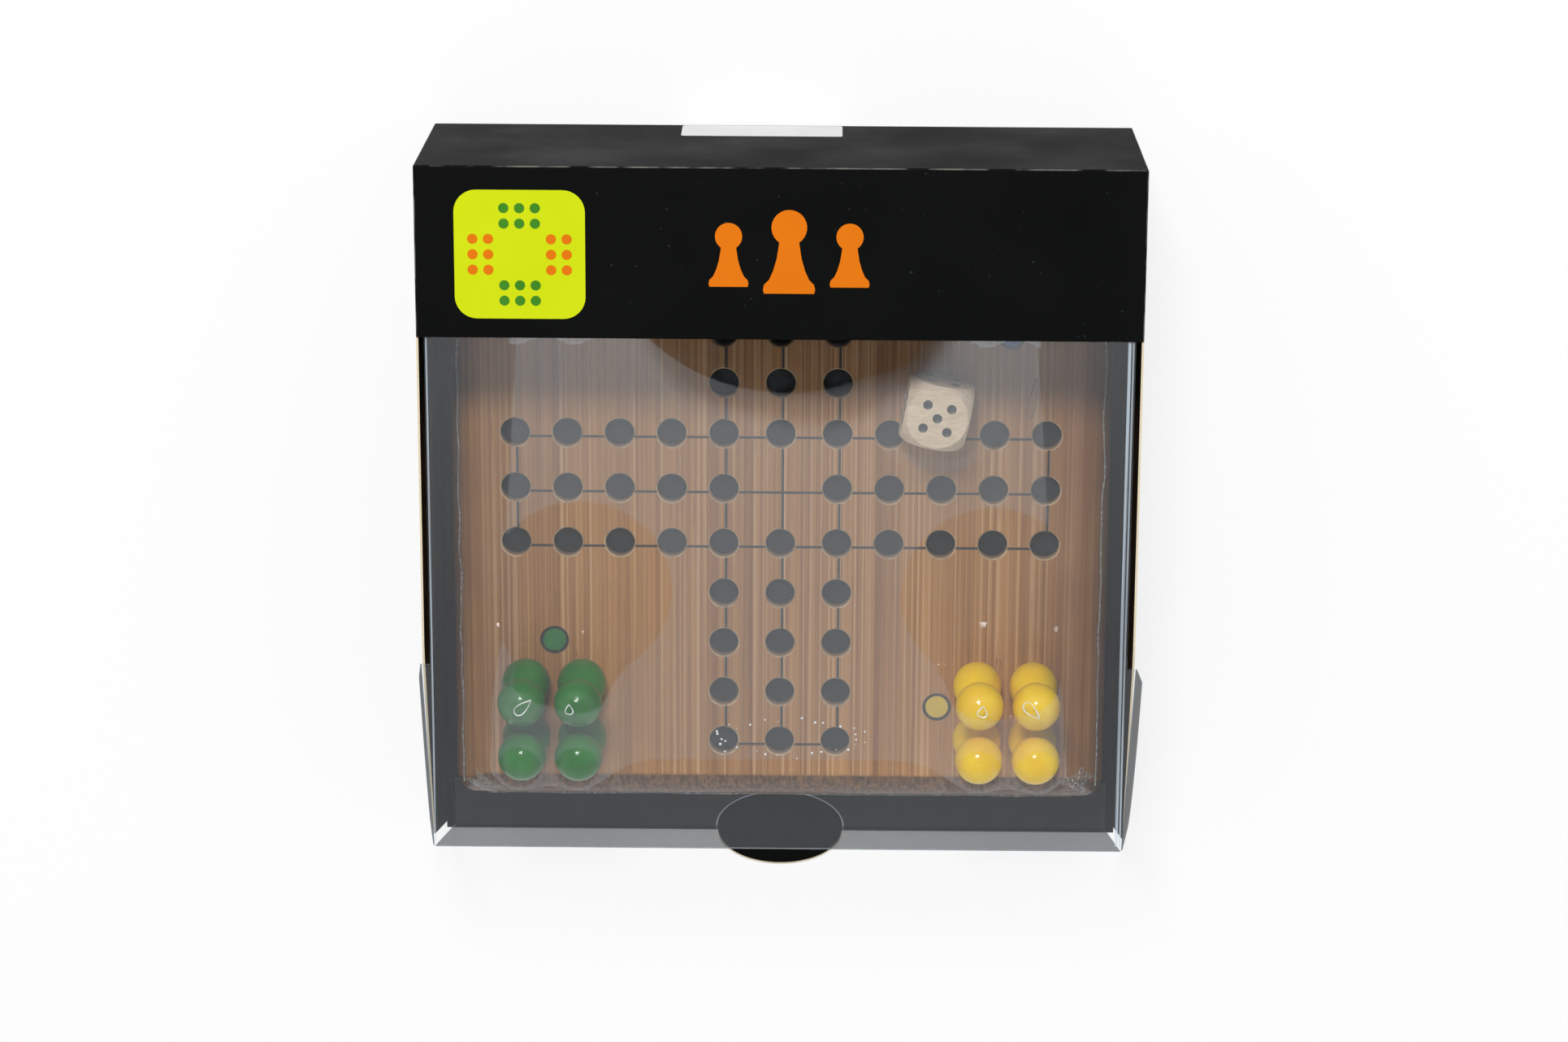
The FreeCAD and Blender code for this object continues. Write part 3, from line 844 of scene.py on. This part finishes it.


# The four loops on the upper heads are painted highlights; the one by the die is a milky crease.
pleats = [
    pleat("film_painted_highlight_green_left", -58.9 * mm, -47.2 * mm, 4.6 * mm, 2.0 * mm, 40, 0.16 * mm, painted_glint),
    pleat("film_painted_highlight_green_right", -48.2 * mm, -47.6 * mm, 2.2 * mm, 1.6 * mm, 90, 0.16 * mm, painted_glint),
    pleat("film_painted_highlight_yellow_left", 47.0 * mm, -47.4 * mm, 2.4 * mm, 2.0 * mm, 80, 0.18 * mm, painted_glint),
    pleat("film_painted_highlight_yellow_right", 58.4 * mm, -47.2 * mm, 4.6 * mm, 2.0 * mm, -42, 0.16 * mm, painted_glint),
    pleat("film_pleat_die", 58.5 * mm, 20 * mm, 10 * mm, 1.5 * mm, 80, 0.14 * mm, ridge),
]


def sparkle_domes(name, x, y, half_x, half_y, count):
    """Small domes on the film, scattered along an oval, in the whiter glint material: painted sparkles."""
    verts, faces = [], []
    sides = 10
    for k in range(count):
        turn = 2 * math.pi * (k + chance.uniform(-0.4, 0.4)) / count
        reach = chance.uniform(0.8, 1.12)
        px = x + half_x * reach * math.cos(turn)
        py = y + half_y * reach * math.sin(turn)
        radius = chance.uniform(0.12, 0.34) * mm
        foot = film_height(np.array(px), np.array(py)) + 0.02 * mm
        start = len(verts)
        for share, rise in ((1.0, 0.0), (0.7, 0.35), (0.3, 0.48)):
            for side in range(sides):
                angle = 2 * math.pi * side / sides
                spot = (px + radius * share * math.cos(angle), py + radius * share * math.sin(angle))
                verts.append((*spot, foot + rise * radius))
        for row in (0, sides):
            for side in range(sides):
                after = (side + 1) % sides
                corners = (row + side, row + after, row + sides + after, row + sides + side)
                faces.append(tuple(start + c for c in corners))
        faces.append(tuple(start + 2 * sides + side for side in range(sides)))
    return piece(name, verts, faces, painted_glint, "tray")


# Painted sparkles: tiny white domes standing for glints of the lamp on the film.
film_painted_sparkles = sparkle_domes("film_painted_sparkles", 2 * mm, -63.6 * mm, 19 * mm, 4.6 * mm, 30)


# Print, pale rims and creases: thin flat shapes that lie just off a surface

print_thick = 0.02 * mm
print_gap = 0.01 * mm


def patch(name, outlines, level, material, body="carton", place=None):
    """Thin flat shapes: each outline is a ring of points in the plane of the print."""
    verts, faces = [], []
    for ring in outlines:
        start = len(verts)
        count = len(ring)
        for height in (level, level + print_thick):
            verts += [(u, v, height) for u, v in ring]
        faces.append(tuple(start + count + k for k in range(count)))
        faces.append(tuple(start + k for k in reversed(range(count))))
        for k in range(count):
            n = (k + 1) % count
            faces.append((start + k, start + n, start + count + n, start + count + k))
    if place:
        verts = [place(*v) for v in verts]
    return piece(name, verts, faces, material, body, shade=False)


def round_box(cx, cy, half_x, half_y, radius, steps=8):
    """The outline of a box with round corners."""
    ring = []
    for sx, sy, first in ((1, 1, 0), (-1, 1, 90), (-1, -1, 180), (1, -1, 270)):
        for k in range(steps + 1):
            turn = math.radians(first + 90 * k / steps)
            x = cx + sx * (half_x - radius) + radius * math.cos(turn)
            y = cy + sy * (half_y - radius) + radius * math.sin(turn)
            ring.append((x, y))
    return ring


def dot(cx, cy, radius, steps=28):
    """The outline of a disc."""
    turns = [2 * math.pi * k / steps for k in range(steps)]
    return [(cx + radius * math.cos(t), cy + radius * math.sin(t)) for t in turns]


def pawn(cx, cy, height):
    """The outline of a pawn, standing with its foot at cy."""
    s = height / 17.0
    half = [(5.0, 0.0), (5.2, 0.8), (5.0, 1.8), (4.0, 2.8), (3.2, 4.6), (2.5, 7.0), (2.1, 9.6), (2.0, 10.3)]
    for k in range(13):
        turn = math.radians(-56 + 146 * k / 12)
        half.append((3.55 * math.cos(turn), 13.4 + 3.6 * math.sin(turn)))
    ring = [(x, y) for x, y in half] + [(-x, y) for x, y in reversed(half[:-1])]
    return [(cx + s * x * mm, cy + s * y * mm) for x, y in ring]


band_top = carton_high[2] + print_gap
lime = ink("lime_ink", (0.58, 0.67, 0.007), (0.55, 0.64, 0.006))
orange = ink("orange_ink", (0.70, 0.170, 0.006), (0.67, 0.160, 0.005))
leaf = ink("leaf_ink", (0.060, 0.25, 0.020), (0.045, 0.20, 0.015))
badge_x, badge_y = -58 * mm, 60 * mm
badge_half = 14.6 * mm
dot_pitch = 3.5 * mm
dot_radius = 1.15 * mm
patch("print_badge", [round_box(badge_x, badge_y, badge_half, badge_half, 5 * mm)], band_top, lime)
steps = range(-3, 4)
cross = [(i, j) for i in steps for j in steps if min(abs(i), abs(j)) <= 1 < max(abs(i), abs(j))]
spots = [(badge_x + dot_pitch * i, badge_y + dot_pitch * j, i, j) for i, j in cross]
upright = [dot(x, y, dot_radius) for x, y, i, j in spots if abs(j) > 1]
level_arms = [dot(x, y, dot_radius) for x, y, i, j in spots if abs(i) > 1]
patch("print_cross_green", upright, band_top + print_thick, leaf)
patch("print_cross_orange", level_arms, band_top + print_thick, orange)
pawns = [
    pawn(-11.5 * mm, 53.0 * mm, 14.5),
    pawn(2 * mm, 51.5 * mm, 19.0),
    pawn(15.5 * mm, 53.0 * mm, 14.5),
]
patch("print_pawns", pawns, band_top, orange)
end_face = carton_high[1] + print_gap
patch(
    "blank_label",
    [round_box(-4.8 * mm, 7.6 * mm, 18.6 * mm, 6.8 * mm, 0.8 * mm)],
    end_face,
    label_paper(),
    place=lambda u, v, w: (u, w, v),
)


def flat_band(outer, inner):
    """The outline of a flat band between two open curves of points."""
    return list(outer) + list(reversed(inner))


def half_ellipse(cy, half_x, half_y, first=math.pi, steps=40):
    """Half of an ellipse round (0, cy), as an open curve that starts at an angle."""
    turns = [first + math.pi * k / steps for k in range(steps + 1)]
    return [(half_x * math.cos(t), cy + half_y * math.sin(t)) for t in turns]


# The pale rim of the cut thumb tab
tab_y = carton_low[1] + thumb_reach
tab_outer = half_ellipse(tab_y, thumb_half, thumb_reach)
tab_inner = half_ellipse(tab_y, thumb_half - 0.3 * mm, thumb_reach - 0.35 * mm)
patch("tab_rim", [flat_band(tab_outer, tab_inner)], card, carton_edge)

# The pale rim of the thumb hole, on the part of the end flap that is tucked in
tuck_gap = 0.15 * mm
sheet_thick = 0.3 * mm
fold_y = tab_y + 1.2 * mm
tuck_top = card + tuck_gap + sheet_thick + print_gap
hole_outer = half_ellipse(fold_y, thumb_half + 0.3 * mm, thumb_reach + 0.3 * mm, 0.0)
hole_inner = half_ellipse(fold_y, thumb_half, thumb_reach, 0.0)
patch("thumb_hole_rim", [flat_band(hole_outer, hole_inner)], tuck_top, pale_edge, "flap")

# Painted highlights along the folds of the clear cover
cover_low, cover_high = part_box("window_cover")
fold_highlight = sheet_fold_highlight()
panel_top = cover_high[2] + print_gap
fold_highlight_low = cover_low[1] + 1 * mm
fold_highlight_high = cover_high[1] - 1 * mm


def strip(x0, x1):
    """The outline of a narrow strip along the cover."""
    return [(x0, fold_highlight_low), (x1, fold_highlight_low), (x1, fold_highlight_high), (x0, fold_highlight_high)]


right_strips = [strip(78.0 * mm, 78.7 * mm), strip(79.0 * mm, 79.4 * mm)]
patch("cover_fold_highlight_right", right_strips, panel_top, fold_highlight, "cover")
patch("cover_fold_highlight_left", [strip(-79.5 * mm, -79.1 * mm)], panel_top, fold_highlight, "cover")


# Floor, light and camera

def flat_rectangle(name, half_x, half_y, place, material, face_up):
    """A flat rectangle for the stage, which faces up or down."""
    corners = [(-half_x, -half_y, 0), (half_x, -half_y, 0), (half_x, half_y, 0), (-half_x, half_y, 0)]
    mesh = bpy.data.meshes.new(name)
    mesh.from_pydata(corners, [], [(0, 1, 2, 3) if face_up else (3, 2, 1, 0)])
    mesh.materials.append(material)
    rectangle = bpy.data.objects.new(name, mesh)
    rectangle.location = place
    bpy.context.scene.collection.objects.link(rectangle)
    return rectangle


def studio_world():
    """Soft light from all round, brightest near the horizon and dim overhead."""
    world = bpy.data.worlds.new("studio")
    world.use_nodes = True
    tree = world.node_tree
    background = tree.nodes["Background"]
    spot = tree.nodes.new("ShaderNodeTexCoord").outputs["Generated"]
    axes = tree.nodes.new("ShaderNodeSeparateXYZ")
    ramp = tree.nodes.new("ShaderNodeMapRange")
    for key, value in {"From Min": 0.50, "From Max": 0.85, "To Min": 1.0, "To Max": 0.20}.items():
        ramp.inputs[key].default_value = value
    tree.links.new(spot, axes.inputs[0])
    tree.links.new(axes.outputs["Z"], ramp.inputs["Value"])
    tree.links.new(ramp.outputs[0], background.inputs["Strength"])
    background.inputs["Color"].default_value = (0.96, 0.98, 1.0, 1)
    return world


def softbox(name, place, aim, width, length, brightness):
    """A soft rectangular light; brightness is what it would show in a mirror."""
    data = bpy.data.lights.new(name, "AREA")
    data.shape = "RECTANGLE"
    data.size = width
    data.size_y = length
    data.energy = brightness * math.pi * width * length
    lamp = bpy.data.objects.new(name, data)
    lamp.location = place
    lamp.rotation_euler = (Vector(place) - Vector(aim)).to_track_quat("Z", "Y").to_euler()
    bpy.context.scene.collection.objects.link(lamp)


def panel_light():
    """The glow of the overhead panel, fading to its far side, with a round dark notch in its near edge."""
    g = Graph("bounce_panel")
    notch_centre = (0.0, 0.333, 0.0)
    away = g.add("VectorMath", {0: g.spot(), 1: notch_centre}, operation="DISTANCE").outputs["Value"]
    notch = g.span(away, 0.097, 0.106)
    depth = g.span(g.axes()[1], 0.27, 0.12, 1.00, 0.72)
    glow = g.add("Emission", {"Color": (0.94, 0.98, 1.03), "Strength": g.times(notch, depth)})
    return g.surface(glow.outputs[0])


def add_camera(place, degrees, lens):
    """The camera that was fitted to the corners of the carton in the photo."""
    data = bpy.data.cameras.new("camera")
    data.sensor_width = 36
    data.lens = lens
    camera = bpy.data.objects.new("camera", data)
    camera.location = place
    camera.rotation_euler = Euler([math.radians(a) for a in degrees], "XYZ")
    bpy.context.scene.collection.objects.link(camera)
    return camera


floor_z = carton_low[2] - 0.05 * mm
floor = flat_rectangle("floor", 6, 6, (0, 0, floor_z), floor_surface(), face_up=True)
bpy.context.scene.world = studio_world()
softbox("key", place=(-0.12, 0.85, 1.17), aim=(0, 0, 0.03), width=0.35, length=0.25, brightness=52)
panel = flat_rectangle("bounce_panel", 0.32, 0.3, (0.0, -0.5, 1.2), panel_light(), face_up=False)
camera = add_camera((0.00976, 0.24961, 0.95086), (-15.597, 0.626, 0.272), lens=94.53)
bpy.context.scene.camera = camera
bpy.context.scene.view_settings.view_transform = "Standard"
